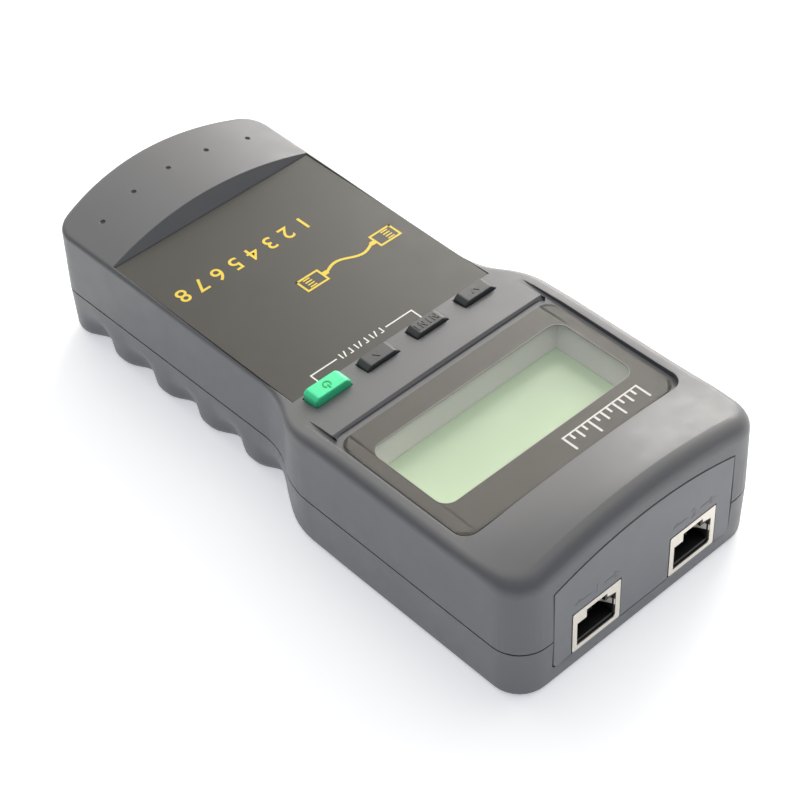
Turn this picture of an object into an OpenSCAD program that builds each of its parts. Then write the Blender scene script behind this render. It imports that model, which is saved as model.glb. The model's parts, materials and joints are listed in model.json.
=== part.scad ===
// Handheld network cable tester: a crowned two-part shell with a narrow grip and a wide head.
// Frame: origin at the centre of the footprint, +Y towards the sockets, +Z out of the keys.

/* [Shell outline] */
// Overall length
length = 186; // [184:0.5:188]
// Width across the grip at the far end
grip_w = 69.6; // [69:0.2:70.6]
// Width at the narrowest point of the grip
waist_w = 68.2; // [67.6:0.2:68.8]
// Width of the head where the waist curve ends
head_back_w = 82.6; // [82:0.2:83]
// Width of the head at the sockets
head_w = 83; // [82.6:0.2:84]
// Where the waist curve starts
waist_y = -3.75; // [-5:0.25:-3]
// Radius of the two arcs of the waist curve
waist_r = 22; // [20:1:24]
// Radius of the bowed far end
end_r = 97; // [90:1:110]
// Corner radius at the far end
far_corner_r = 8; // [7:0.5:9]
// Corner radius at the socket end
front_corner_r = 9; // [8:0.5:10]

/* [Shell heights] */
// Height of the parting line
seam_z = 16; // [15.5:0.25:16.5]
// Gap along the parting line
seam_gap = 0.4; // [0.2:0.05:0.4]
// Height of the top edge along the grip
grip_rim_z = 34.7; // [34.5:0.1:35]
// Height of the top edge along the head
head_rim_z = 37; // [36.8:0.1:37.4]
// Rise of the end cap at its centre
cap_crown = 3.8; // [3:0.2:4.6]
// Rise of the brow over the sockets at its centre
brow_crown = 6; // [5:0.2:6.6]
// Wall thickness
wall = 2.2; // [2:0.1:2.4]

/* [Label] */
// Half width of the label
label_x = 33.1; // [32.8:0.1:33.2]
// Back edge of the label
label_y0 = -62.5; // [-63:0.5:-62]
// Front edge of the label
label_y1 = 7.8; // [7:0.2:8]
// Height of the label's face
label_z = 34.75; // [34.7:0.05:34.8]
// Slope of the wall behind the label
crescent_slope = 51; // [46:1:56]

/* [Display] */
// Half width of the display window plate
window_x = 35.65; // [35.4:0.05:35.8]
// Back edge of the window plate
window_y0 = 26.7; // [26.5:0.1:27]
// Front edge of the window plate
window_y1 = 69.9; // [69.5:0.1:70.2]
// Height of the window plate's face
window_z = 37.2; // [37.1:0.05:37.3]
// Half width of the clear field
clear_x = 31.8; // [31:0.1:32]
// Back edge of the clear field
clear_y0 = 33.75; // [33.5:0.05:34]
// Front edge of the clear field
clear_y1 = 59.65; // [59:0.05:60]

/* [Keys] */
// Length of a dark key
key_l = 10.4; // [10:0.1:10.8]
// Width of a dark key
key_w = 4.4; // [4:0.1:4.6]
// Height of a dark key's face
key_z = 37; // [36.6:0.1:37.4]
// Height of the power key's face
power_key_z = 38; // [37.6:0.1:38.4]
// Distance between neighbouring keys
key_pitch = 16.57; // [16.4:0.01:16.8]
// Position of the row of keys
key_y = 11.45; // [11.2:0.05:11.6]
// Travel of a dark key
key_travel = 0.8; // [0.6:0.1:0.8]

/* [Sockets] */
// Centre of the left socket
socket_a_x = 16.24; // [16:0.01:16.5]
// Centre of the right socket
socket_b_x = -16.73; // [-17:0.01:-16.5]
// Height of the sockets' centres
socket_z = 13; // [12.9:0.05:13.1]
// Width of a socket shield
shield_w = 15.9; // [15.8:0.05:16]
// Height of a socket shield
shield_h = 13.3; // [13.2:0.05:13.3]
// Depth of a socket
shield_d = 16; // [15.5:0.1:16.5]

/* [Battery] */
// Width of the battery
battery_w = 26.5; // [26:0.1:26.5]
// Length of the battery's case
battery_l = 46.4; // [46:0.1:46.6]
// Thickness of the battery
battery_h = 17.5; // [17:0.1:17.5]

/* [Hidden] */
$fn = 48;

tall = 60;
over = 1;
fit_gap = 0.25;
half_l = length / 2;

// Shell outline
end_c = [0, end_r - half_l];
far_c_x = grip_w / 2 - far_corner_r;
far_c = [far_c_x, end_c[1] - sqrt(pow(end_r - far_corner_r, 2) - pow(far_c_x, 2))];
front_c = [head_w / 2 - front_corner_r, half_l - front_corner_r];
waist_a = acos(1 - (head_back_w - waist_w) / (4 * waist_r));
waist_end_y = waist_y + 2 * waist_r * sin(waist_a);
columns = 20;

// Shell surface
upper_draft = 0.3;
lower_draft = 0.5;
deck_crown = 0.3;
deck_y0 = 4;
deck_y1 = 29;
brow_y0 = 62;
brow_y1 = 90;
grip_edge_r = 1.4;
head_edge_r = 2.6;
brow_edge_r = 4.5;
grip_base_r = 3;
head_base_r = 1.8;
fillet_steps = 5;

// Inside of the shells
grip_roof_z = 31.9;
head_roof_z = 33.5;
head_roof_y = 16;
floor_z = 2.4;
grip_wall = 5.4;
lip_in = 1.25;
lip_out = 2.05;
lip_h = 1.3;

// Display pocket
pocket_x = 36.8;
pocket_y0 = 25;
pocket_y1 = 71.5;
pocket_z = 35.9;
pocket_r = 4.5;
groove_w = 1.6;
groove_y0 = 10;
deck_edge_slope = 40;
mask_t = 0.2;
window_r = 3.5;
well_x = 33.6;
well_y0 = 32;
well_y1 = 61.6;

// Jack panel
panel_x = 30.3;
panel_z0 = 6;
panel_arch_z = 36.5;
panel_arch_r = 100;
panel_corner_r = 1.5;
panel_t = 2;
flange_t = 1.4;
flange_out = 1.5;

// Display stack, from the board up
board_y0 = 6;
board_y1 = 88.9;
board_z0 = 19.65;
board_t = 1.6;
board_z1 = board_z0 + board_t;
glass_z0 = 28.4;
glass_t = 1.1;
lcd_x = 29.6;
lcd_y0 = 35.3;
lcd_y1 = 58.1;

// Keys
flange_z = 30.4;
key_flange_t = 1.2;
key_xs = [for (i = [0 : 3]) key_pitch * (1.5 - i) + 0.25];
power_l = 11.2;
power_w = 5;

// Fasteners
case_posts = [[21, -81.5], [-21, -81.5], [34, 76], [-34, 76]];
board_posts = [[30.8, 22], [-30.8, 22], [26.5, 69.5], [-26.5, 69.5]];
case_screw_r = 1.2;
case_head_r = 2.8;
case_head_z = 4;
case_seat_z = 6;
board_screw_r = 0.95;

// Battery bay and door
bay_x = 14.4;
bay_y0 = -71.3;
bay_y1 = -15.8;
tray_t = 1.6;
tray_z = 14;
ledge_z0 = 2.1;
ledge_z1 = 3.6;
door_x = 16.5;
door_y0 = -74;
door_y1 = -13.5;
door_z0 = 0.35;
door_z1 = 2;
battery_z0 = 2.3;
battery_y0 = -70.8;
snap_t = 4;

// Row of dimples on the end cap
dimple_pitch = 12.5;
dimple_y = -80.8;
dimple_bow = 0.8;
dimple_r = 0.75;

// Finger scallops along the lower edges of the grip
scallop_pitch = 17.9;
scallop_y0 = -73.4;
scallop_count = 5;
scallop_depth = 3;
scallop_low_z = 3;
scallop_high_z = 12;

// 0 below a, 1 above b, and smooth between
function ease(v, a, b) = let (t = min(1, max(0, (v - a) / (b - a)))) t * t * (3 - 2 * t);

function arc_points(c, r, a0, a1, first, n) =
    [for (i = [first : n]) let (a = a0 + (a1 - a0) * i / n) [c[0] + r * cos(a), c[1] + r * sin(a)]];

function line_points(p, q, n) = [for (i = [1 : n]) p + (q - p) * i / n];

// One side of the outline, from the far corner to the front corner
function side_points(grip_steps) = concat(
    arc_points(far_c, far_corner_r, atan2(far_c[1] - end_c[1], far_c[0]), 0, 0, 6),
    line_points([grip_w / 2, far_c[1]], [waist_w / 2, waist_y], grip_steps),
    [for (i = [1 : 6]) let (a = waist_a * i / 6)
        [waist_w / 2 + waist_r * (1 - cos(a)), waist_y + waist_r * sin(a)]],
    [for (i = [1 : 6]) let (a = waist_a * (1 - i / 6))
        [head_back_w / 2 - waist_r * (1 - cos(a)), waist_end_y - waist_r * sin(a)]],
    line_points([head_back_w / 2, waist_end_y], [head_w / 2 - 0.05, brow_y0], 4),
    line_points([head_w / 2 - 0.05, brow_y0], [head_w / 2, front_c[1]], 6),
    arc_points(front_c, front_corner_r, 0, 90, 1, 8)
);

// The closed outline, anticlockwise from the far right corner
function closed_outline(side) = let (last = len(side) - 1) concat(
    side,
    [for (k = [1 : columns - 1]) [side[last][0] * (1 - 2 * k / columns), half_l]],
    [for (j = [last : -1 : 0]) [-side[j][0], side[j][1]]],
    [for (k = [1 : columns - 1]) let (x = side[0][0] * (2 * k / columns - 1))
        [x, end_c[1] - sqrt(end_r * end_r - x * x)]]
);

function outward_of(line) = let (n = len(line)) [for (i = [0 : n - 1])
    let (d = line[(i + 1) % n] - line[(i + n - 1) % n]) [d[1], -d[0]] / norm(d)];

upper_side = side_points(9);
rows = len(upper_side);
outline = closed_outline(upper_side);
outward = outward_of(outline);
ring_n = len(outline);
lower_outline = closed_outline(side_points(46));
lower_outward = outward_of(lower_outline);
plain_outline = closed_outline(side_points(1));
plain_outward = outward_of(plain_outline);

function inset_point(i, d) = outline[i] - outward[i] * d;
function inset_outline(d) = [for (i = [0 : len(plain_outline) - 1]) plain_outline[i] - plain_outward[i] * d];

// Height of the crowned top before anything is cut into it
function rim_z(y) = grip_rim_z + (head_rim_z - grip_rim_z) * ease(y, deck_y0, deck_y1)
    + 0.3 * ease(y, deck_y1, half_l);
function crown_h(y) = deck_crown + cap_crown * (1 - ease(y, label_y0, label_y0 + 40))
    + brow_crown * ease(y, brow_y0, brow_y1);
function half_w(y) = (grip_w + (head_w - grip_w) * ease(y, waist_y, waist_end_y)) / 2;
function top_z(p) = rim_z(p[1]) + crown_h(p[1]) * (1 - pow(p[0] / half_w(p[1]), 2));

function edge_r(y) = grip_edge_r + (head_edge_r - grip_edge_r) * ease(y, 0, 30)
    + (brow_edge_r - head_edge_r) * ease(y, 76, half_l - 4);
function base_r(y) = grip_base_r + (head_base_r - grip_base_r) * ease(y, 0, 30);

// Depth of the finger scallops, deepest at the base
function scallop(y, z) = let (turn = (y - scallop_y0) / scallop_pitch)
    turn < -0.5 || turn > scallop_count - 0.5 ? 0
    : scallop_depth * (1 - ease(z, scallop_low_z, scallop_high_z)) * pow(abs(cos(180 * turn)), 3);

// Vertices round the top edge: a level below the seam, then the rounded edge in steps
upper_rings = concat(
    [[for (i = [0 : ring_n - 1]) [outline[i][0], outline[i][1], seam_z - over]]],
    [for (s = [0 : fillet_steps]) [for (i = [0 : ring_n - 1])
        let (r = edge_r(outline[i][1]),
            a = 90 * s / fillet_steps,
            p = inset_point(i, upper_draft + r * (1 - cos(a))))
        [p[0], p[1], top_z(inset_point(i, upper_draft + r)) - r * (1 - sin(a))]]]
);
rim = upper_rings[fillet_steps + 1];
rim_at = (fillet_steps + 1) * ring_n;

// Places of the rim's points in the ring, by row and column of the top grid
function right_at(j) = j;
function left_at(j) = 2 * rows + columns - 2 - j;
function front_at(k) = rows + columns - k - 1;
function far_at(k) = 2 * rows + columns + k - 2;
function rim_index(j, k) = k == columns ? right_at(j) : k == 0 ? left_at(j)
    : j == 0 ? far_at(k) : front_at(k);

// Inner points of the top, blended between the far row and the front row
function top_point(j, k) =
    let (t = j / (rows - 1),
        far = rim[far_at(k)],
        front = rim[front_at(k)],
        at = rim[right_at(j)],
        far_fade = pow(1 - t, 3),
        front_fade = pow(t, 6),
        x = at[0] * ((1 - t) * far[0] / rim[right_at(0)][0] + t * front[0] / rim[right_at(rows - 1)][0]),
        y = at[1] + far_fade * (far[1] - rim[0][1]) + front_fade * (front[1] - rim[right_at(rows - 1)][1]))
    [x, y, top_z([x, y])];

function grid_index(j, k) = j == 0 || j == rows - 1 || k == 0 || k == columns
    ? rim_at + rim_index(j, k)
    : rim_at + ring_n + (j - 1) * (columns - 1) + k - 1;

function quad(a, b, c, d) = [[a, b, c], [a, c, d]];
function flat_list(lists) = [for (l = lists) for (item = l) item];

// Crowned solid that starts a little below the parting line
module upper_body() {
    points = concat(
        flat_list(upper_rings),
        [for (j = [1 : rows - 2]) for (k = [1 : columns - 1]) top_point(j, k)]
    );
    sides = flat_list([for (m = [0 : fillet_steps]) for (i = [0 : ring_n - 1])
        let (n = (i + 1) % ring_n, a = m * ring_n, b = a + ring_n)
        quad(a + i, b + i, b + n, a + n)]);
    top = flat_list([for (j = [0 : rows - 2]) for (k = [0 : columns - 1])
        quad(grid_index(j, k), grid_index(j + 1, k), grid_index(j + 1, k + 1), grid_index(j, k + 1))]);
    polyhedron(points, concat([[for (i = [0 : ring_n - 1]) i]], sides, top));
}

// Angles of the base fillet's steps; the last one goes on in a straight line to below the base
base_angles = [0, 18, 36, 54, 72];
base_end = base_angles[len(base_angles) - 1];

// A point of the lower outline, moved in at height z by the draft, the scallops and d
function lower_point(i, z, d) = let (p = lower_outline[i],
    q = p - lower_outward[i] * (lower_draft * (1 - z / seam_z) + scallop(p[1], z) + d)) [q[0], q[1], z];

// Finger-scalloped solid with a rounded base edge, from below the base to above the parting line
module lower_body() {
    n = len(lower_outline);
    rings = concat(
        [for (z = [seam_z + over, 12, 9.5, 7.5, 5.5]) [for (i = [0 : n - 1]) lower_point(i, z, 0)]],
        [for (a = base_angles) [for (i = [0 : n - 1])
            let (r = base_r(lower_outline[i][1]))
            lower_point(i, r * (1 - sin(a)), r * (1 - cos(a)))]],
        [[for (i = [0 : n - 1])
            let (r = base_r(lower_outline[i][1]))
            lower_point(i, -r * (1 - sin(base_end)), r * (1 + cos(base_end)))]]
    );
    last = len(rings) - 1;
    sides = flat_list([for (m = [0 : last - 1]) for (i = [0 : n - 1])
        let (j = (i + 1) % n, a = m * n, b = a + n)
        quad(a + i, a + j, b + j, b + i)]);
    polyhedron(flat_list(rings), concat(
        [[for (i = [n - 1 : -1 : 0]) i]],
        sides,
        [[for (i = [0 : n - 1]) last * n + i]]
    ));
}

module block(x0, x1, y0, y1, z0, z1) {
    translate([x0, y0, z0])
        cube([x1 - x0, y1 - y0, z1 - z0]);
}

module post(at, r, z0, z1) {
    translate([at[0], at[1], z0])
        cylinder(r = r, h = z1 - z0);
}

module rounded_block(x, y0, y1, r, z0, z1) {
    translate([0, 0, z0])
        linear_extrude(z1 - z0)
            rounded_plan(x, y0, y1, r);
}

module rounded_plan(x, y0, y1, r) {
    translate([-x + r, y0])
        square([2 * (x - r), y1 - y0]);
    translate([-x, y0 + r])
        square([2 * x, y1 - y0 - 2 * r]);
    for (cx = [-x + r, x - r], cy = [y0 + r, y1 - r])
        translate([cx, cy])
            circle(r);
}

// A profile in Y and Z, extruded across the width
module across(x0, x1) {
    translate([x0, 0, 0])
        rotate([90, 0, 90])
            linear_extrude(x1 - x0)
                children();
}

// A profile in X and Z, extruded from y0 to y1
module along(y0, y1) {
    translate([0, y1, 0])
        rotate([90, 0, 0])
            linear_extrude(y1 - y0)
                children();
}

module hollow(inset, z0, z1) {
    translate([0, 0, z0])
        linear_extrude(z1 - z0)
            polygon(inset_outline(inset));
}

// Outline of the jack panel in X and Z, grown by d
module panel_profile(d) {
    intersection() {
        union() {
            translate([-panel_x - d, panel_z0 + panel_corner_r])
                square([2 * (panel_x + d), tall]);
            translate([-panel_x - d + panel_corner_r, panel_z0 - d])
                square([2 * (panel_x + d - panel_corner_r), tall]);
            for (side_x = [-1, 1])
                translate([side_x * (panel_x + d - panel_corner_r), panel_z0 - d + panel_corner_r])
                    circle(panel_corner_r);
        }
        translate([0, panel_arch_z - panel_arch_r])
            circle(panel_arch_r + d, $fn = 180);
    }
}

module upper_shell() {
    color([0.44, 0.46, 0.5])
        difference() {
            union() {
                difference() {
                    intersection() {
                        upper_body();
                        block(-tall, tall, -2 * tall, 2 * tall, seam_z, tall);
                    }
                    hollow(wall, seam_z - 1, grip_roof_z);
                    hollow(lip_in - 0.1, seam_z - 1, seam_z + lip_h);
                    intersection() {
                        hollow(wall, seam_z - 1, head_roof_z);
                        block(-tall, tall, head_roof_y, tall * 2, 0, tall);
                    }
                }
                for (at = case_posts)
                    post(at, 3.5, seam_z + 0.1, at[1] < 0 ? grip_roof_z + 0.5 : head_roof_z + 0.5);
                for (at = board_posts)
                    post(at, 2.6, board_z1 + 0.1, head_roof_z + 0.5);
            }
            label_cut();
            display_cut();
            key_cuts();
            panel_cut();
            end_dimples();
            for (at = case_posts)
                post(at, case_screw_r + 0.05, seam_z, 26);
            for (at = board_posts)
                post(at, board_screw_r + 0.05, board_z1, 28);
        }
}

// Recess for the label, with the sloped wall that leaves a crescent behind it
module label_cut() {
    x = label_x + 0.15;
    floor = label_z - 0.5;
    top = 45;
    back = label_y0 - 0.1;
    front = label_y1 + 0.1;
    across(-x, x)
        polygon([[front, floor], [front, top], [back - (top - label_z) / tan(crescent_slope), top],
            [back, label_z], [back, floor]]);
}

// Pocket for the window, its side grooves, the softened deck edge and the well
module display_cut() {
    rounded_block(pocket_x, pocket_y0, pocket_y1, pocket_r, pocket_z, tall);
    for (s = [-1, 1])
        translate([s * (pocket_x - groove_w / 2), 0, 0])
            block(-groove_w / 2, groove_w / 2, groove_y0, pocket_y0 + 8, pocket_z, tall);
    translate([0, pocket_y0 + 0.4, pocket_z])
        rotate([-deck_edge_slope, 0, 0])
            block(-pocket_x + groove_w, pocket_x - groove_w, -4, 0, 0, 4);
    block(-well_x, well_x, well_y0, well_y1, 30, tall);
}

module key_cuts() {
    for (i = [0 : 3])
        translate([key_xs[i], key_y, 0]) {
            l = (i == 0 ? power_l : key_l) / 2 + fit_gap;
            w = (i == 0 ? power_w : key_w) / 2 + fit_gap;
            block(-l, l, -w, w, 30, tall);
        }
}

// Opening for the jack panel and the slot for its flange
module panel_cut() {
    along(half_l - 8, half_l + 1)
        panel_profile(0.27);
    along(half_l - wall - 2.2, half_l - wall)
        panel_profile(flange_out + 0.2);
}

// Centre of a dimple's sphere
function dimple_at(i) = let (p = [dimple_pitch * i, dimple_y + dimple_bow * i * i]) [p[0], p[1], top_z(p) + 0.1];

module end_dimples() {
    for (i = [-2 : 2])
        translate(dimple_at(i))
            rotate([90, 0, 0])
                sphere(dimple_r);
}

module lower_shell() {
    color([0.43, 0.45, 0.5])
        difference() {
            union() {
                difference() {
                    lower_body();
                    block(-tall, tall, -2 * tall, 2 * tall, -tall, 0);
                    block(-tall, tall, -2 * tall, 2 * tall, seam_z - seam_gap, tall);
                    lower_hollow();
                }
                difference() {
                    hollow(lip_in, 12, seam_z - seam_gap + lip_h);
                    hollow(lip_out, 11, tall);
                    panel_clearance();
                }
                bay_walls();
                for (at = case_posts)
                    post(at, 4, 1, seam_z - seam_gap);
            }
            along(half_l - 8, half_l + 1)
                panel_profile(0.27);
            along(half_l - wall - 2.2, half_l - wall)
                panel_profile(flange_out + 0.2);
            bay_cut();
            for (at = case_posts) {
                post(at, case_screw_r + 0.3, -1, tall);
                post(at, case_head_r + 0.2, -1, case_seat_z);
            }
        }
}

// The grip keeps a thick wall behind the scallops
module lower_hollow() {
    hollow(grip_wall, floor_z, tall);
    hollow(lip_out, 12.5, tall);
    intersection() {
        hollow(wall, floor_z, tall);
        block(-tall, tall, waist_end_y, tall * 2, 0, tall);
    }
}

module panel_clearance() {
    block(-panel_x - 3, panel_x + 3, half_l - 8, half_l + 1, 0, tall);
}

module bay_walls() {
    difference() {
        union() {
            block(-bay_x - tray_t, bay_x + tray_t, bay_y0 - tray_t, bay_y1 + tray_t, 1, tray_z);
            block(-door_x - 3, door_x + 3, door_y0 - 2.5, door_y1 + 2.5, 1, ledge_z1);
        }
        block(-bay_x, bay_x, bay_y0, bay_y1, 0, tall);
        block(1, 9, bay_y1 - 1, bay_y1 + tray_t + 1, 8, tall);
    }
}

module bay_cut() {
    block(-bay_x, bay_x, bay_y0, bay_y1, -1, ledge_z1 + 0.1);
    block(-door_x - 0.3, door_x + 0.3, door_y0 - 0.3, door_y1 + 0.3, -1, ledge_z0);
}

module jack_panel() {
    color([0.45, 0.47, 0.52])
        difference() {
            union() {
                along(half_l - panel_t, half_l)
                    panel_profile(0);
                along(half_l - wall - flange_t - 0.2, half_l - panel_t)
                    panel_profile(0);
                along(half_l - wall - flange_t - 0.2, half_l - wall - 0.2)
                    panel_profile(flange_out);
            }
            for (x = [socket_a_x, socket_b_x])
                block(x - shield_w / 2 - 0.25, x + shield_w / 2 + 0.25, half_l - 8, half_l + 1,
                    socket_z - shield_h / 2 - 0.25, socket_z + shield_h / 2 + 0.25);
        }
}

module label_plate() {
    color([0.3, 0.29, 0.27])
        block(-label_x, label_x, label_y0, label_y1, label_z - 0.5, label_z);
}

module display_window() {
    color([0.8, 0.85, 0.85, 0.4])
        rounded_block(window_x, window_y0, window_y1, window_r, pocket_z + mask_t, window_z);
}

// Printed border under the clear plate
module window_mask() {
    color([0.28, 0.26, 0.24])
        translate([0, 0, pocket_z])
            linear_extrude(mask_t)
                difference() {
                    rounded_plan(window_x, window_y0, window_y1, window_r);
                    rounded_plan(clear_x, clear_y0, clear_y1, window_r);
                }
}

// Pale frame with sloped inner walls, standing on the board
module display_frame() {
    top = pocket_z - 0.1;
    collar_z = head_roof_z - 0.2;
    seat_z = glass_z0 + glass_t + 0.1;
    color([0.78, 0.78, 0.76])
        difference() {
            union() {
                block(-34.8, 34.8, 30.4, 63.2, board_z1 + 0.1, collar_z);
                block(-well_x + 0.3, well_x - 0.3, well_y0 + 0.3, well_y1 - 0.3, collar_z, top);
            }
            block(-33, 33, 32.1, 61.5, board_z1 - 1, seat_z);
            sloped_well([lcd_x, lcd_y0, lcd_y1, seat_z - 0.01], [32.6, 33, 60.5, top + 0.01]);
        }
}

// Frustum between two rectangles, each [half width, back, front, height]
module sloped_well(low, high) {
    corners = [for (r = [low, high]) for (c = [[-1, 1], [1, 1], [1, 2], [-1, 2]]) [c[0] * r[0], r[c[1]], r[3]]];
    polyhedron(corners, [[0, 1, 2, 3], [4, 5, 1, 0], [5, 6, 2, 1], [6, 7, 3, 2], [7, 4, 0, 3], [7, 6, 5, 4]]);
}

module display_glass() {
    color([0.76, 0.86, 0.74])
        block(-32.7, 32.7, 32.4, 61.2, glass_z0, glass_z0 + glass_t);
}

module backlight_plate() {
    color([0.93, 0.94, 0.9])
        block(-32, 32, 36.2, 57.4, glass_z0 - 2.4, glass_z0 - 0.1);
}

module zebra_strips() {
    color([0.75, 0.45, 0.5])
        for (y = [32.8, 58.2])
            block(-31, 31, y, y + 2.6, board_z1, glass_z0);
}

module main_board() {
    color([0.1, 0.36, 0.2])
        difference() {
            union() {
                block(-33.5, 33.5, board_y0, 66, board_z0, board_z1);
                block(-29.5, 29.5, 66, board_y1, board_z0, board_z1);
            }
            for (at = board_posts)
                post(at, 1.25, 0, tall);
        }
}

// Opening of a socket in X and Z, with a notch for the plug's latch
module socket_opening(x, low, shoulder, notch_x, notch_top) {
    polygon([[-x, low], [x, low], [x, shoulder], [notch_x, shoulder], [notch_x, notch_top],
        [-notch_x, notch_top], [-notch_x, shoulder], [-x, shoulder]]);
}

module shield(x) {
    t = 0.35;
    color([0.86, 0.84, 0.78])
        translate([x, half_l, socket_z])
            difference() {
                block(-shield_w / 2, shield_w / 2, -shield_d, 0, -shield_h / 2, shield_h / 2);
                block(-shield_w / 2 + t, shield_w / 2 - t, -shield_d + t, -t,
                    -shield_h / 2 + t, shield_h / 2 - t);
                along(-1, 1)
                    socket_opening(6.45, -5.25, 2.6, 3.4, 5.15);
            }
}

module insert(x) {
    color([0.08, 0.08, 0.09])
        translate([x, half_l, socket_z])
            difference() {
                block(-7.5, 7.5, -15.5, -0.45, -6.2, 6.2);
                along(-13, 1)
                    socket_opening(6.1, -5.1, 2.3, 3.2, 5);
            }
}

// Eight sprung strips that rise from the mouth of the cavity to its back
module contacts(x) {
    color([0.85, 0.68, 0.3])
        translate([x, half_l, socket_z])
            for (i = [0 : 7])
                across((i - 3.5) * 1.016 - 0.23, (i - 3.5) * 1.016 + 0.23)
                    polygon([[-1.3, -5.05], [-0.95, -4.6], [-9.5, -3.35], [-12.95, -3.35],
                        [-12.95, -3.7], [-9.6, -3.7], [-1.9, -4.85], [-1.9, -5.05]]);
}

module socket_a_shield() {
    shield(socket_a_x);
}

module socket_a_insert() {
    insert(socket_a_x);
}

module socket_a_contacts() {
    contacts(socket_a_x);
}

module socket_b_shield() {
    shield(socket_b_x);
}

module socket_b_insert() {
    insert(socket_b_x);
}

module socket_b_contacts() {
    contacts(socket_b_x);
}

// A key: bevelled cap, retaining flange and stem
module key(x, l, w, top, bevel) {
    translate([x, 0, 0]) {
        along(key_y - w / 2, key_y + w / 2)
            polygon([[-l / 2, flange_z + 0.5], [l / 2, flange_z + 0.5], [l / 2, top - bevel],
                [l / 2 - 1.2 * bevel, top], [-l / 2 + 1.2 * bevel, top], [-l / 2, top - bevel]]);
        block(-l / 2 - 1.2, l / 2 + 1.2, key_y - w / 2 - 1.2, key_y + w / 2 + 1.2,
            flange_z, flange_z + key_flange_t);
        block(-1.5, 1.5, key_y - 1.5, key_y + 1.5, flange_z - 0.8, flange_z + 0.5);
    }
}

module power_key() {
    color([0.25, 0.88, 0.5])
        key(key_xs[0], power_l, power_w, power_key_z, 0.8);
}

module left_key() {
    color([0.24, 0.25, 0.26])
        key(key_xs[1], key_l, key_w, key_z, 1);
}

module middle_key() {
    color([0.24, 0.25, 0.26])
        key(key_xs[2], key_l, key_w, key_z, 1);
}

module right_key() {
    color([0.24, 0.25, 0.26])
        key(key_xs[3], key_l, key_w, key_z, 1);
}

module power_switch() {
    color([0.2, 0.2, 0.22])
        translate([key_xs[0], key_y, 0]) {
            block(-4, 4, -4, 4, board_z1, board_z1 + 5.5);
            post([0, 0], 1.6, board_z1 + 5, flange_z - 0.8 - key_travel - 0.2);
        }
}

module key_switches() {
    color([0.16, 0.16, 0.17])
        for (i = [1 : 3])
            translate([key_xs[i], key_y, 0]) {
                block(-3, 3, -3, 3, board_z1, board_z1 + 3.5);
                post([0, 0], 1.7, board_z1 + 3, flange_z - 0.8 - key_travel - 0.2);
            }
}

module controller_chip() {
    color([0.1, 0.1, 0.11])
        block(-6, 6, 36, 48, board_z0 - 1.6, board_z0);
}

module logic_chips() {
    color([0.12, 0.12, 0.13])
        for (x = [-18, 0, 18])
            block(x - 2, x + 2, 57, 67, board_z0 - 1.6, board_z0);
}

module crystal() {
    color([0.8, 0.8, 0.8])
        block(11, 15.5, 36, 47, board_z0 - 3.6, board_z0);
}

module capacitors() {
    color([0.15, 0.2, 0.35])
        for (at = [[-20, 34], [-20, 44], [22, 28]])
            post(at, 3.1, board_z0 - 8, board_z0);
}

module resistors() {
    color([0.15, 0.15, 0.15])
        for (i = [0 : 5])
            block(-10 + 3.4 * i, -8.4 + 3.4 * i, 29, 32.2, board_z0 - 0.6, board_z0);
}

module buzzer() {
    color([0.08, 0.08, 0.08])
        difference() {
            post([0, 16], 6, board_z0 - 7, board_z0);
            post([0, 16], 1, board_z0 - 8, board_z0 - 4);
        }
}

module battery() {
    color([0.72, 0.73, 0.76])
        union() {
            block(-battery_w / 2, battery_w / 2, battery_y0, battery_y0 + battery_l,
                battery_z0, battery_z0 + battery_h);
            for (x = [-6.3, 6.3])
                translate([x, battery_y0 + battery_l, battery_z0 + battery_h / 2])
                    rotate([-90, 0, 0])
                        cylinder(r = 2.8, h = 2);
        }
}

module battery_snap() {
    y = battery_y0 + battery_l + 0.3;
    color([0.1, 0.1, 0.1])
        difference() {
            block(-12.8, 12.8, y, y + snap_t, battery_z0 + 2.4, battery_z0 + battery_h - 2.4);
            for (x = [-6.3, 6.3])
                translate([x, y - 1, battery_z0 + battery_h / 2])
                    rotate([-90, 0, 0])
                        cylinder(r = 3, h = 3.2);
        }
}

// Route of a lead from the snap to the board, and its thickness
lead_route = [[5, -20, 11], [5, -17, 11], [5.5, -13, 12], [6, -8, 13.5], [6, -3, 14.5],
    [5.5, 2, 15.3], [5, 6, 16.2], [5, 7.5, 17.6], [5, 7.5, 19.6]];
lead_r = 0.65;
lead_sides = 8;

function lead_tangent(i) = let (a = lead_route[max(0, i - 1)], b = lead_route[min(len(lead_route) - 1, i + 1)])
    (b - a) / norm(b - a);
function lead_ring(i) = let (t = lead_tangent(i), u = [1, 0, 0], v0 = cross(t, u), v = v0 / norm(v0), w = cross(v, t))
    [for (s = [0 : lead_sides - 1]) let (a = 360 * s / lead_sides)
        lead_route[i] + lead_r * (cos(a) * w + sin(a) * v)];

module lead() {
    n = len(lead_route);
    polyhedron(flat_list([for (i = [0 : n - 1]) lead_ring(i)]), concat(
        [[for (s = [0 : lead_sides - 1]) s]],
        flat_list([for (i = [0 : n - 2]) for (s = [0 : lead_sides - 1])
            let (m = (s + 1) % lead_sides, a = i * lead_sides, b = a + lead_sides)
            quad(a + s, b + s, b + m, a + m)]),
        [[for (s = [lead_sides - 1 : -1 : 0]) (n - 1) * lead_sides + s]]
    ));
}

module battery_leads() {
    color([0.7, 0.1, 0.1])
        for (dx = [-2, 1])
            translate([dx, 0, 0])
                lead();
}

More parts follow.
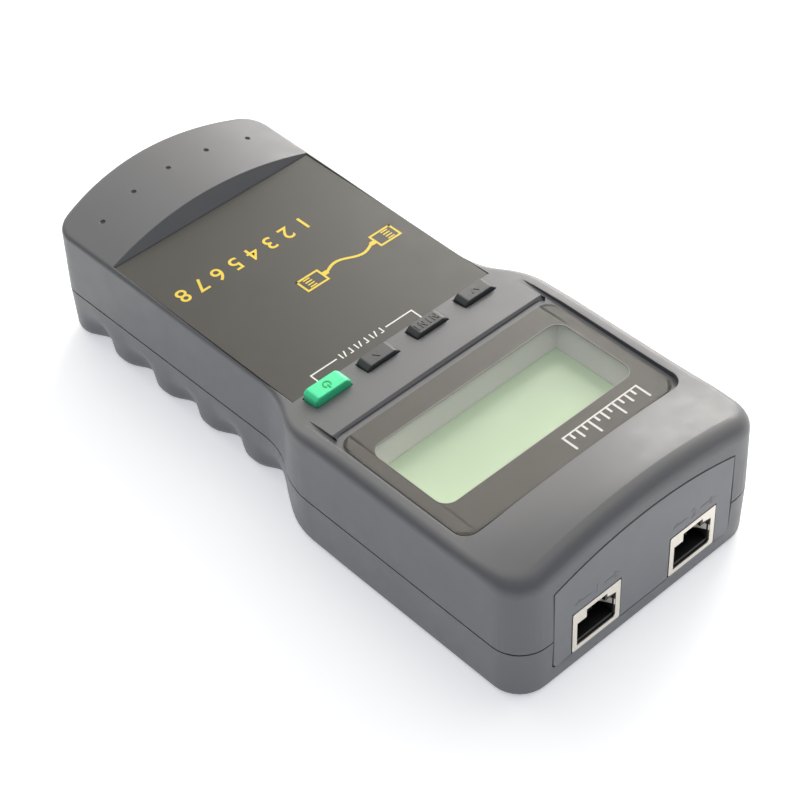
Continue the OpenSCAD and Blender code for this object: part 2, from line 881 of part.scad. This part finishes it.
// Snap-in door with a finger ridge pattern and a latch tongue
module battery_door() {
    color([0.43, 0.45, 0.5])
        difference() {
            union() {
                block(-door_x, door_x, door_y0, door_y1, door_z0, door_z1);
                block(-4, 4, bay_y1 - 1.6, bay_y1 - 0.4, door_z1 - 0.2, 5.5);
            }
            for (i = [0 : 4])
                block(-7, 7, -24 + 1.8 * i, -23.1 + 1.8 * i, door_z0 - 1, door_z0 + 0.5);
        }
}

module case_screws() {
    color([0.6, 0.6, 0.62])
        for (at = case_posts)
            difference() {
                union() {
                    post(at, case_head_r, case_head_z, case_seat_z);
                    post(at, case_screw_r, case_seat_z - 0.5, 24);
                }
                for (a = [0, 90])
                    translate([at[0], at[1], case_head_z - 1])
                        rotate([0, 0, a])
                            block(-1.5, 1.5, -0.3, 0.3, 0, 2);
            }
}

module board_screws() {
    color([0.7, 0.7, 0.7])
        for (at = board_posts) {
            post(at, 2.1, board_z0 - 1.5, board_z0);
            post(at, board_screw_r, board_z0 - 0.5, 27);
        }
}

upper_shell();
lower_shell();
jack_panel();
label_plate();
display_window();
window_mask();
display_frame();
display_glass();
backlight_plate();
zebra_strips();
main_board();
socket_a_shield();
socket_a_insert();
socket_a_contacts();
socket_b_shield();
socket_b_insert();
socket_b_contacts();
power_key();
left_key();
middle_key();
right_key();
power_switch();
key_switches();
controller_chip();
logic_chips();
crystal();
capacitors();
resistors();
buzzer();
battery();
battery_snap();
battery_leads();
battery_door();
case_screws();
board_screws();
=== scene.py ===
import json
import math

import bmesh
import bpy
from mathutils import Matrix, Vector


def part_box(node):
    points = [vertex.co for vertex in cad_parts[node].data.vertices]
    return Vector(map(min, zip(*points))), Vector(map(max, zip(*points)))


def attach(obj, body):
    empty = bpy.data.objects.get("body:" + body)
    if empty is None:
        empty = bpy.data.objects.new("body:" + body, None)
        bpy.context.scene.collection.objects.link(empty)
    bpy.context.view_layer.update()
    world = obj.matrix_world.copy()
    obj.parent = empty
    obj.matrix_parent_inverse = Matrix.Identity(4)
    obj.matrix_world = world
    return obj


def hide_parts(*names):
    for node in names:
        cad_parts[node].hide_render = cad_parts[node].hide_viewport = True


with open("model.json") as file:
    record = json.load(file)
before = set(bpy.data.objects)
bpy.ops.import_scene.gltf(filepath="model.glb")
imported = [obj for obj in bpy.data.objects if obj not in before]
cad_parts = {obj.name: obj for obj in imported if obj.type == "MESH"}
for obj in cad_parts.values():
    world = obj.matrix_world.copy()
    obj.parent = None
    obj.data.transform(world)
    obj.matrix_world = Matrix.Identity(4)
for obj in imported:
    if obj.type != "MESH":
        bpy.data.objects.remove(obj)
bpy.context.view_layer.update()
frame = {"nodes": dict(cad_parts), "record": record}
nodes = frame["nodes"]

MM = 0.001
GRAIN_STEP = 1e-5  # metres of bump for each unit of grain
WELD_GAP = 2e-6
SPLIT_ANGLE = 28
PLATE_SPLIT_ANGLE = 30
scene = bpy.context.scene


# ---------------------------------------------------------------- materials
def new_material(name):
    mat = bpy.data.materials.new(name)
    mat.use_nodes = True
    tree = mat.node_tree
    shader = tree.nodes["Principled BSDF"]
    return mat, tree, shader


def noise(tree, scale, detail=3.0, rough=0.55):
    place = tree.nodes.new("ShaderNodeTexCoord")
    tex = tree.nodes.new("ShaderNodeTexNoise")
    tex.inputs["Scale"].default_value = scale
    tex.inputs["Detail"].default_value = detail
    tex.inputs["Roughness"].default_value = rough
    tree.links.new(place.outputs["Object"], tex.inputs["Vector"])
    return tex.outputs["Fac"]


def ranged(tree, value, low, high):
    node = tree.nodes.new("ShaderNodeMapRange")
    node.inputs["From Min"].default_value = 0.3
    node.inputs["From Max"].default_value = 0.7
    node.inputs["To Min"].default_value = low
    node.inputs["To Max"].default_value = high
    tree.links.new(value, node.inputs["Value"])
    return node.outputs["Result"]


def finish(name, colour, rough, grain=0.0, grain_scale=3500.0, vary=0.04, metal=0.0, coat=0.0,
           edge=0.0, rough_vary=0.06, blotch=45.0):
    """A principled material with fine grain, uneven gloss and faint patches of a lighter or darker colour."""
    mat, tree, shader = new_material(name)
    patch = ranged(tree, noise(tree, blotch, 5.0), 0.0, 1.0)
    mix = tree.nodes.new("ShaderNodeMix")
    mix.data_type = "RGBA"
    mix.inputs["A"].default_value = [c * (1 - vary) for c in colour] + [1.0]
    mix.inputs["B"].default_value = [min(1.0, c * (1 + vary)) for c in colour] + [1.0]
    tree.links.new(patch, mix.inputs["Factor"])
    tree.links.new(mix.outputs["Result"], shader.inputs["Base Color"])
    uneven = ranged(tree, noise(tree, blotch * 4.0, 6.0, 0.65), max(0.0, rough - rough_vary), rough + rough_vary)
    tree.links.new(uneven, shader.inputs["Roughness"])
    shader.inputs["Metallic"].default_value = metal
    shader.inputs["Coat Weight"].default_value = coat
    shader.inputs["Coat Roughness"].default_value = 0.06
    normal = None
    if edge:
        soft = tree.nodes.new("ShaderNodeBevel")
        soft.samples = 4
        soft.inputs["Radius"].default_value = edge * MM
        normal = soft.outputs["Normal"]
    if grain:
        bump = tree.nodes.new("ShaderNodeBump")
        bump.inputs["Strength"].default_value = 0.5
        bump.inputs["Distance"].default_value = grain * GRAIN_STEP
        tree.links.new(noise(tree, grain_scale, 2.0), bump.inputs["Height"])
        if normal:
            tree.links.new(normal, bump.inputs["Normal"])
        normal = bump.outputs["Normal"]
    if normal:
        tree.links.new(normal, shader.inputs["Normal"])
    return mat


SHELL = finish("shell_plastic", (0.150, 0.154, 0.166), 0.40, grain=1.4, edge=0.3, vary=0.03)
PANEL = finish("panel_plastic", (0.190, 0.195, 0.214), 0.42, grain=1.4, vary=0.03)
LABEL = finish("label_film", (0.047, 0.045, 0.040), 0.36, grain=0.8, grain_scale=5000.0, vary=0.05)
PRINT = finish("window_print", (0.068, 0.061, 0.053), 0.35, coat=0.35, vary=0.015, rough_vary=0.02, blotch=12.0)
PALE = finish("pale_plastic", (0.82, 0.82, 0.78), 0.5, grain=1.0, vary=0.02)
LCD = finish("lcd_glass", (0.60, 0.77, 0.54), 0.22, coat=0.3, vary=0.025, blotch=25.0)
WHITE = finish("white_plastic", (0.85, 0.86, 0.82), 0.5, vary=0.02)
RUBBER = finish("elastomer", (0.5, 0.25, 0.28), 0.8, grain=1.0)
BOARD = finish("circuit_board", (0.03, 0.16, 0.07), 0.35, grain=1.0, vary=0.1)
SHIELD = finish("socket_metal", (0.80, 0.76, 0.68), 0.34, metal=0.75, grain=0.6, vary=0.04)
BLACK = finish("black_plastic", (0.012, 0.012, 0.013), 0.45, grain=1.2)
GOLD = finish("gold_contact", (0.95, 0.88, 0.70), 0.25, metal=0.5)
GREEN = finish("green_plastic", (0.08, 0.96, 0.45), 0.3, vary=0.03, edge=0.25)
KEY = finish("key_plastic", (0.070, 0.074, 0.078), 0.4, grain=1.6, edge=0.3)
CHIP = finish("chip_resin", (0.025, 0.025, 0.027), 0.6, grain=1.5)
CAN = finish("can_metal", (0.7, 0.7, 0.7), 0.3, metal=1.0)
SLEEVE = finish("capacitor_sleeve", (0.03, 0.05, 0.13), 0.3)
WRAP = finish("battery_case", (0.5, 0.51, 0.54), 0.35, vary=0.05)
JACKET = finish("lead_jacket", (0.55, 0.03, 0.03), 0.35)
STEEL = finish("screw_steel", (0.6, 0.6, 0.62), 0.35, metal=1.0, grain=1.0)
YELLOW = finish("yellow_ink", (0.90, 0.66, 0.045), 0.45, vary=0.04)
INK = finish("white_ink", (0.88, 0.87, 0.85), 0.45, vary=0.03)


def clear_material():
    mat, tree, shader = new_material("clear_window")
    shader.inputs["Base Color"].default_value = (0.55, 0.57, 0.56, 1.0)
    shader.inputs["Alpha"].default_value = 0.06
    rough = ranged(tree, noise(tree, 300.0, 4.0), 0.04, 0.1)
    tree.links.new(rough, shader.inputs["Roughness"])
    return mat


BY_SLOT = {
    "shell_plastic": SHELL, "panel_plastic": PANEL, "label_film": LABEL, "clear_window": clear_material(),
    "window_print": PRINT, "pale_plastic": PALE, "lcd_glass": LCD, "white_plastic": WHITE, "elastomer": RUBBER,
    "circuit_board": BOARD, "socket_metal": SHIELD, "black_plastic": BLACK, "gold_contact": GOLD,
    "green_plastic": GREEN, "key_plastic": KEY, "chip_resin": CHIP, "can_metal": CAN,
    "capacitor_sleeve": SLEEVE, "battery_case": WRAP, "lead_jacket": JACKET, "screw_steel": STEEL,
}


def paint(obj, mat):
    obj.data.materials.clear()
    obj.data.materials.append(mat)


# ---------------------------------------------------------------- shading of the CAD meshes
BEVELLED = {
    "label_plate": 0.1, "display_window": 0.25, "main_board": 0.15, "power_key": 0.5, "left_key": 0.35,
    "middle_key": 0.35, "right_key": 0.35, "battery_door": 0.25, "battery": 0.6, "battery_snap": 0.4,
    "controller_chip": 0.15, "logic_chips": 0.15, "power_switch": 0.3, "key_switches": 0.2,
}


def smooth_and_weld(obj):
    for face in obj.data.polygons:
        face.use_smooth = True
    obj.modifiers.new("weld", "WELD").merge_threshold = WELD_GAP


def split_edges(obj, degrees):
    obj.modifiers.new("edges", "EDGE_SPLIT").split_angle = math.radians(degrees)


def weigh_normals(obj):
    obj.modifiers.new("normals", "WEIGHTED_NORMAL").mode = "FACE_AREA_WITH_ANGLE"


def soften(obj, name):
    for old in list(obj.modifiers):
        obj.modifiers.remove(old)
    if "custom_normal" in obj.data.attributes:
        obj.data.attributes.remove(obj.data.attributes["custom_normal"])
    smooth_and_weld(obj)
    if name in BEVELLED:
        bevel = obj.modifiers.new("bevel", "BEVEL")
        bevel.width = BEVELLED[name] * MM
        bevel.segments = 3
        bevel.limit_method = "ANGLE"
        bevel.angle_limit = math.radians(35)
    else:
        split_edges(obj, SPLIT_ANGLE)
    weigh_normals(obj)


for part in frame["record"]["subparts"]:
    piece = nodes[part["node"]]
    paint(piece, BY_SLOT[part["material_slot"]])
    soften(piece, part["node"])


# ---------------------------------------------------------------- pieces made here
def place(mesh, origin, u, v):
    """Maps local x, y and z in millimetres onto u, v and their cross product, from origin."""
    u, v = Vector(u), Vector(v)
    n = u.cross(v)
    grid = Matrix((
        (u.x, v.x, n.x, origin[0]),
        (u.y, v.y, n.y, origin[1]),
        (u.z, v.z, n.z, origin[2]),
        (0, 0, 0, 1),
    ))
    mesh.transform(Matrix.Scale(MM, 4) @ grid)


def add(name, mesh, mat, body):
    obj = bpy.data.objects.new(name, mesh)
    scene.collection.objects.link(obj)
    mesh.materials.clear()
    mesh.materials.append(mat)
    for face in mesh.polygons:
        face.use_smooth = False
    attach(obj, body)
    return obj


def closed_mesh(bm, name):
    bmesh.ops.recalc_face_normals(bm, faces=bm.faces)
    mesh = bpy.data.meshes.new(name)
    bm.to_mesh(mesh)
    bm.free()
    return mesh


class Strokes:
    """Flat marks with a small thickness, drawn in local x and y in millimetres."""

    def __init__(self, low=-0.02, high=0.03):
        self.bm = bmesh.new()
        self.low, self.high = low, high
        self.drawn = 0

    def polygon(self, points):
        # Pieces that overlap differ a little in height, so that no two faces share a plane
        self.drawn += 1
        lift = 0.004 * (self.drawn % 3)
        base = [self.bm.verts.new((x, y, self.low - lift)) for x, y in points]
        top = [self.bm.verts.new((x, y, self.high + lift)) for x, y in points]
        n = len(points)
        self.bm.faces.new(top)
        self.bm.faces.new(base[::-1])
        for i in range(n):
            self.bm.faces.new((base[i], base[(i + 1) % n], top[(i + 1) % n], top[i]))

    def line(self, a, b, width, cap=True):
        a, b = Vector(a), Vector(b)
        d = (b - a).normalized() * (width / 2)
        s = Vector((-d.y, d.x))
        if cap:
            a, b = a - d, b + d
        self.polygon([tuple(a + s), tuple(a - s), tuple(b - s), tuple(b + s)])

    def path(self, points, width):
        for a, b in zip(points, points[1:]):
            self.line(a, b, width)

    def ring(self, centre, radius, width, start=0.0, end=360.0, steps=28):
        for i in range(steps):
            a0 = math.radians(start + (end - start) * i / steps)
            a1 = math.radians(start + (end - start) * (i + 1) / steps)
            r0, r1 = radius - width / 2, radius + width / 2
            self.polygon([
                (centre[0] + r0 * math.cos(a0), centre[1] + r0 * math.sin(a0)),
                (centre[0] + r1 * math.cos(a0), centre[1] + r1 * math.sin(a0)),
                (centre[0] + r1 * math.cos(a1), centre[1] + r1 * math.sin(a1)),
                (centre[0] + r0 * math.cos(a1), centre[1] + r0 * math.sin(a1)),
            ])

    def mesh(self, name):
        return closed_mesh(self.bm, name)


def curve_mesh(curve):
    """Turns a curve into a mesh and removes the curve."""
    obj = bpy.data.objects.new(curve.name, curve)
    scene.collection.objects.link(obj)
    bpy.context.view_layer.update()
    mesh = bpy.data.meshes.new_from_object(obj.evaluated_get(bpy.context.evaluated_depsgraph_get()))
    bpy.data.objects.remove(obj)
    bpy.data.curves.remove(curve)
    return mesh


def digits_mesh(body, size, thick=0.03, spacing=1.0, weight=0.0):
    """The digits as a mesh, centred on the local origin, in millimetres."""
    curve = bpy.data.curves.new("digits", "FONT")
    curve.body = body
    curve.size = size
    curve.align_x = "CENTER"
    curve.align_y = "CENTER"
    curve.extrude = thick
    curve.offset = weight
    curve.space_character = spacing
    return curve_mesh(curve)


def plate_mesh(loops, thick, bevel):
    """A flat plate in local x and y with its front at z = 0; the first loop is the rim and the rest are holes."""
    curve = bpy.data.curves.new("plate", "CURVE")
    curve.dimensions = "2D"
    curve.fill_mode = "BOTH"
    curve.extrude = thick / 2 - bevel
    curve.bevel_depth = bevel
    curve.bevel_resolution = 2
    curve.offset = -bevel
    for loop in loops:
        line = curve.splines.new("POLY")
        line.points.add(len(loop) - 1)
        for point, (x, y) in zip(line.points, loop):
            point.co = (x, y, 0.0, 1.0)
        line.use_cyclic_u = True
    mesh = curve_mesh(curve)
    mesh.transform(Matrix.Translation((0, 0, -thick / 2)))
    return mesh


def smooth_plate(obj):
    smooth_and_weld(obj)
    split_edges(obj, PLATE_SPLIT_ANGLE)
    weigh_normals(obj)


# Label: a row of digits, a cable pictogram and the bracket that ties two keys together
ON_TOP_U, ON_TOP_V = (1, 0, 0), (0, 1, 0)
LABEL_Z = 34.75
WINDOW_SCALE_Z, WINDOW_LINE_Z = 36.13, 36.12

row = digits_mesh("1 2 3 4 5 6 7 8", 7.0, spacing=1.05, weight=0.05)
place(row, (7.0, -41.6, LABEL_Z), ON_TOP_U, ON_TOP_V)
add("label_digits", row, YELLOW, "housing")

plug = Strokes()
for side in (-1, 1):
    left = side * 16.0
    inner = side * 9.2
    plug.path([(left, -2.3), (inner, -2.3), (inner, 2.3), (left, 2.3), (left, -2.3)], 0.62)
    for k in range(4):
        plug.line((left - side * 1.4, -1.5 + k), (left - side * 3.6, -1.5 + k), 0.42, cap=False)
    plug.line((inner, 0), (inner - side * 1.7, 0), 1.5, cap=False)
plug.path([(-7.6 + 15.2 * i / 14, 1.3 * math.sin(2 * math.pi * i / 14)) for i in range(15)], 0.8)
picture = plug.mesh("label_cable")
place(picture, (-12.4, -22.2, LABEL_Z), ON_TOP_U, ON_TOP_V)
add("label_cable", picture, YELLOW, "housing")

bracket = Strokes()
bracket.path([(23.9, 7.2), (23.9, 3.9), (15.6, 3.9)], 0.42)
bracket.path([(-1.2, 3.9), (-9.8, 3.9), (-9.8, 7.4)], 0.42)
for k in range(9):
    x = 0.4 + 1.7 * k
    bracket.line((x, 2.9), (x + (0.8 if k % 3 == 1 else 0.0), 4.9), 0.38, cap=False)
    if k % 3 == 0:
        bracket.line((x, 4.8), (x + 0.9, 4.8), 0.34, cap=False)
tie = bracket.mesh("label_bracket")
place(tie, (0, 0, LABEL_Z), ON_TOP_U, ON_TOP_V)
add("label_bracket", tie, INK, "housing")

# Window: a plain scale, and a fine light line round the clear field
scale = Strokes()
for k in range(13):
    tall = 4.6 if k % 4 == 0 else 3.0 if k % 2 == 0 else 1.8
    scale.line((-12.6 + 2.1 * k, -2.3), (-12.6 + 2.1 * k, -2.3 + tall), 0.62, cap=False)
scale.line((-12.9, -2.6), (12.9, -2.6), 0.45, cap=False)
marks = scale.mesh("window_scale")
place(marks, (-15.6, 65.7, WINDOW_SCALE_Z), ON_TOP_U, ON_TOP_V)
add("window_scale", marks, INK, "housing")


def rounded(x0, x1, y0, y1, r, steps=7):
    points = []
    for cx, cy, a0 in ((x1 - r, y0 + r, -90), (x1 - r, y1 - r, 0), (x0 + r, y1 - r, 90), (x0 + r, y0 + r, 180)):
        for i in range(steps + 1):
            a = math.radians(a0 + 90 * i / steps)
            points.append((cx + r * math.cos(a), cy + r * math.sin(a)))
    return points


fine = Strokes(-0.02, 0.02)
edge = rounded(-31.9, 31.9, 33.65, 59.75, 3.6)
for a, b in zip(edge, edge[1:] + edge[:1]):
    if a != b:
        fine.line(a, b, 0.16, cap=False)
line = fine.mesh("window_line")
place(line, (0, 0, WINDOW_LINE_Z), ON_TOP_U, ON_TOP_V)
add("window_line", line, finish("edge_line", (0.42, 0.41, 0.37), 0.5), "housing")

# Key symbols, moulded on the faces
KEYS = {"power_key": "power_button", "left_key": "left_button", "middle_key": "middle_button",
        "right_key": "right_button"}
KEY_MARK = finish("key_mark", (0.10, 0.105, 0.11), 0.5)
GREEN_MARK = finish("green_mark", (0.02, 0.50, 0.14), 0.45)


def symbol(kind):
    mark = Strokes(-0.05, 0.12)
    if kind == "power_key":
        mark.ring((0, 0), 1.0, 0.34, 130, 410)
        mark.line((0, 0.2), (0, 1.5), 0.34, cap=False)
    elif kind == "left_key":
        mark.path([(-1.0, -0.6), (0, 0.7), (1.0, -0.6)], 0.32)
    elif kind == "right_key":
        mark.path([(-1.0, 0.6), (0, -0.7), (1.0, 0.6)], 0.32)
    else:
        for x in (-3.2, -1.9, -0.6, 0.7, 2.0, 3.3):
            mark.line((x, -1.1), (x, 1.1), 0.36, cap=False)
        mark.line((-3.2, 1.1), (-1.9, -1.1), 0.3, cap=False)
        mark.line((0.7, 1.1), (2.0, -1.1), 0.3, cap=False)
    return mark.mesh("mark_" + kind)


for name, body in KEYS.items():
    low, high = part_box(name)
    mesh = symbol(name)
    place(mesh, ((low.x + high.x) / 2 / MM, (low.y + high.y) / 2 / MM, high.z / MM), ON_TOP_U, ON_TOP_V)
    add("mark_" + name, mesh, GREEN_MARK if name == "power_key" else KEY_MARK, body)

# Jack panel with softened edges, and the moulded legends over the sockets
SOCKETS = {"a": 16.24, "b": -16.73}
SOCKET_Z, LEGEND_Z = 13.0, 22.7
FRONT_Y, PANEL_Y = 93.0, 92.94
FRONT_U, FRONT_V = (-1, 0, 0), (0, 0, 1)


def panel_outline():
    """The rim of the jack panel in X and Z: square sides, small lower corners and an arched top."""
    half, low, arch, big, r = 30.3, 6.0, 36.5, 100.0, 1.5
    points = [(-half + r - r * math.cos(math.radians(a)), low + r - r * math.sin(math.radians(a)))
              for a in range(0, 91, 15)]
    points += [(half - r + r * math.sin(math.radians(a)), low + r - r * math.cos(math.radians(a)))
               for a in range(0, 91, 15)]
    for i in range(33):
        x = half - 2 * half * i / 32
        points.append((x, arch - big + math.sqrt(big * big - x * x)))
    return points


holes = [[(-x - 8.2, 6.1), (-x - 8.2, 19.9), (-x + 8.2, 19.9), (-x + 8.2, 6.1)] for x in SOCKETS.values()]
panel = plate_mesh([panel_outline()] + holes, 1.9, 0.18)
place(panel, (0, PANEL_Y, 0), FRONT_U, FRONT_V)
panel_obj = add("jack_panel_face", panel, PANEL, "housing")
smooth_plate(panel_obj)
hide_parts("jack_panel")

for tag, x in SOCKETS.items():
    legend = Strokes(-0.05, 0.06)
    for side in (-1, 1):
        legend.line((side * 2.4, 0), (side * 7.0, 0), 0.5, cap=False)
        legend.path([(side * 5.8, 0.9), (side * 7.0, 0), (side * 5.8, -0.9)], 0.4)
    mesh = legend.mesh("legend_" + tag)
    place(mesh, (x, PANEL_Y, LEGEND_Z), FRONT_U, FRONT_V)
    add("legend_" + tag, mesh, PANEL, "housing")
    number = digits_mesh("1" if tag == "a" else "2", 4.2, thick=0.06)
    place(number, (x, PANEL_Y, LEGEND_Z), FRONT_U, FRONT_V)
    add("legend_number_" + tag, number, PANEL, "housing")


# Socket shields: a punched front, folded sides and a bent spring tab
SHIELD_W, SHIELD_H, SHIELD_T, SHIELD_DEPTH = 7.95, 6.65, 0.35, 16.0  # width and height are halves
CORNER, BEHIND_FACE = 0.4, 0.2


def boxes_mesh(name, boxes):
    """Closed boxes in one mesh, each given by its limits in x, y and z."""
    bm = bmesh.new()
    for x0, x1, y0, y1, z0, z1 in boxes:
        v = [bm.verts.new((x, y, z)) for z in (z0, z1) for y in (y0, y1) for x in (x0, x1)]
        for f in ((0, 2, 3, 1), (4, 5, 7, 6), (0, 1, 5, 4), (2, 6, 7, 3), (0, 4, 6, 2), (1, 3, 7, 5)):
            bm.faces.new([v[i] for i in f])
    return closed_mesh(bm, name)


def tab_mesh(name):
    """The spring tab: it starts at the right rim and folds back into the cavity."""
    bm = bmesh.new()
    bend = [(6.5, 0.0), (6.3, -0.3), (6.0, -1.0), (5.5, -2.0), (4.9, -3.0), (4.2, -3.8), (3.9, -4.0)]
    section = ((0.0, -1.3), (0.25, -1.3), (0.25, 0.6), (0.0, 0.6))
    inset = 0.08
    rings = [[bm.verts.new((px + dx, pz, depth - inset)) for dx, pz in section] for px, depth in bend]
    for a, b in zip(rings, rings[1:]):
        for i in range(4):
            bm.faces.new((a[i], a[(i + 1) % 4], b[(i + 1) % 4], b[i]))
    bm.faces.new(rings[0])
    bm.faces.new(rings[-1][::-1])
    return closed_mesh(bm, name)


def socket(tag, x):
    """Local x runs to the viewer's right and local y upwards."""
    w, h, t, d = SHIELD_W, SHIELD_H, SHIELD_T, SHIELD_DEPTH
    opening = [(-6.45, -5.25), (5.9, -5.25), (6.45, -4.6), (6.45, 3.2), (3.5, 3.9), (3.4, 5.15), (-3.4, 5.15),
               (-3.4, 2.6), (-6.45, 2.6)]
    front = plate_mesh([rounded(-w, w, -h, h, 0.5, 4), opening], t, 0.07)
    sides = boxes_mesh("shield_sides_" + tag, (
        (-w, -w + t, -h + CORNER, h - CORNER, -d, -BEHIND_FACE),
        (w - t, w, -h + CORNER, h - CORNER, -d, -BEHIND_FACE),
        (-w + CORNER, w - CORNER, h - t, h, -d, -BEHIND_FACE),
        (-w + CORNER, w - CORNER, -h, -h + t, -d, -BEHIND_FACE),
        (-w, w, -h, h, -d, -d + t),
    ))
    # The contacts come out of the comb
    comb = boxes_mesh("contact_comb_" + tag, ((-6.0, 6.0, -5.1, -4.0, -4.6, -0.6),))
    for name, mesh, mat, slot in (
        ("shield_face_", front, SHIELD, "socket_metal"),
        ("shield_sides_", sides, SHIELD, "socket_metal"),
        ("shield_tab_", tab_mesh("shield_tab_" + tag), SHIELD, "socket_metal"),
        ("contact_comb_", comb, BLACK, "black_plastic"),
    ):
        place(mesh, (x, FRONT_Y, SOCKET_Z), FRONT_U, FRONT_V)
        piece = add(name + tag, mesh, mat, "housing")
        if mesh is front:
            smooth_plate(piece)
            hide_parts("socket_" + tag + "_shield")


for tag, x in SOCKETS.items():
    socket(tag, x)

# ---------------------------------------------------------------- studio
floor_mesh = bpy.data.meshes.new("floor")
half, floor_z = 6.0, -0.0001
floor_mesh.from_pydata([(x, y, floor_z) for x, y in ((-half, -half), (half, -half), (half, half), (-half, half))],
                       [], [(0, 1, 2, 3)])
floor = bpy.data.objects.new("floor", floor_mesh)
scene.collection.objects.link(floor)
floor_mat, _, floor_shader = new_material("floor")
floor_shader.inputs["Base Color"].default_value = (0.93, 0.935, 0.95, 1.0)
floor_shader.inputs["Roughness"].default_value = 0.9
floor_shader.inputs["Specular IOR Level"].default_value = 0.1
floor_shader.inputs["Emission Color"].default_value = (0.96, 0.975, 1.0, 1.0)
floor_shader.inputs["Emission Strength"].default_value = 0.46
floor_mesh.materials.append(floor_mat)

world = bpy.data.worlds.new("studio")
scene.world = world
world.use_nodes = True
sky = world.node_tree
backdrop = sky.nodes["Background"]
backdrop.inputs["Strength"].default_value = 1.0
way = sky.nodes.new("ShaderNodeTexCoord")
along = sky.nodes.new("ShaderNodeVectorMath")
along.operation = "DOT_PRODUCT"
along.inputs[1].default_value = Vector((-0.66, -0.52, 0.54)).normalized()
sky.links.new(way.outputs["Generated"], along.inputs[0])
glow = sky.nodes.new("ShaderNodeMapRange")
glow.interpolation_type = "SMOOTHSTEP"
glow.inputs["From Min"].default_value = 0.1
glow.inputs["From Max"].default_value = 0.95
glow.inputs["To Min"].default_value = 0.0
glow.inputs["To Max"].default_value = 1.0
sky.links.new(along.outputs["Value"], glow.inputs["Value"])
tone = sky.nodes.new("ShaderNodeMix")
tone.data_type = "RGBA"
tone.inputs["A"].default_value = (0.14, 0.153, 0.185, 1.0)
tone.inputs["B"].default_value = (1.30, 1.24, 1.12, 1.0)
sky.links.new(glow.outputs["Result"], tone.inputs["Factor"])
sky.links.new(tone.outputs["Result"], backdrop.inputs["Color"])


def softbox(name, direction, distance, size, power, colour):
    data = bpy.data.lights.new(name, "AREA")
    data.shape = "SQUARE"
    data.size = size
    data.energy = power
    data.color = colour
    obj = bpy.data.objects.new(name, data)
    d = Vector(direction).normalized()
    obj.location = d * distance
    obj.rotation_euler = d.to_track_quat("Z", "Y").to_euler()
    scene.collection.objects.link(obj)


softbox("key", (-0.80, -0.42, 0.42), 0.62, 0.42, 3.2, (1.0, 0.97, 0.93))
softbox("top", (0.1, 0.1, 1.0), 1.3, 1.3, 3.0, (0.96, 0.98, 1.0))

# ---------------------------------------------------------------- camera
target = Vector((-8.49, -0.6, 1.0)) * MM
azimuth, elevation, roll = (math.radians(a) for a in (138.91, 44.32, -2.84))
distance = 0.57926
back = Vector((math.sin(azimuth) * math.cos(elevation), -math.cos(azimuth) * math.cos(elevation),
               math.sin(elevation)))
right = (-back).cross(Vector((0, 0, 1))).normalized()
up = right.cross(-back)
x_axis = math.cos(roll) * right + math.sin(roll) * up
y_axis = -math.sin(roll) * right + math.cos(roll) * up
camera_data = bpy.data.cameras.new("camera")
camera_data.lens = 99.2
camera_data.sensor_width = 36.0
camera_data.clip_start = 0.01
camera = bpy.data.objects.new("camera", camera_data)
place_at = target + back * distance
camera.matrix_world = Matrix((
    (x_axis.x, y_axis.x, back.x, place_at.x),
    (x_axis.y, y_axis.y, back.y, place_at.y),
    (x_axis.z, y_axis.z, back.z, place_at.z),
    (0, 0, 0, 1),
))
scene.collection.objects.link(camera)
scene.camera = camera
scene.view_settings.view_transform = "Standard"
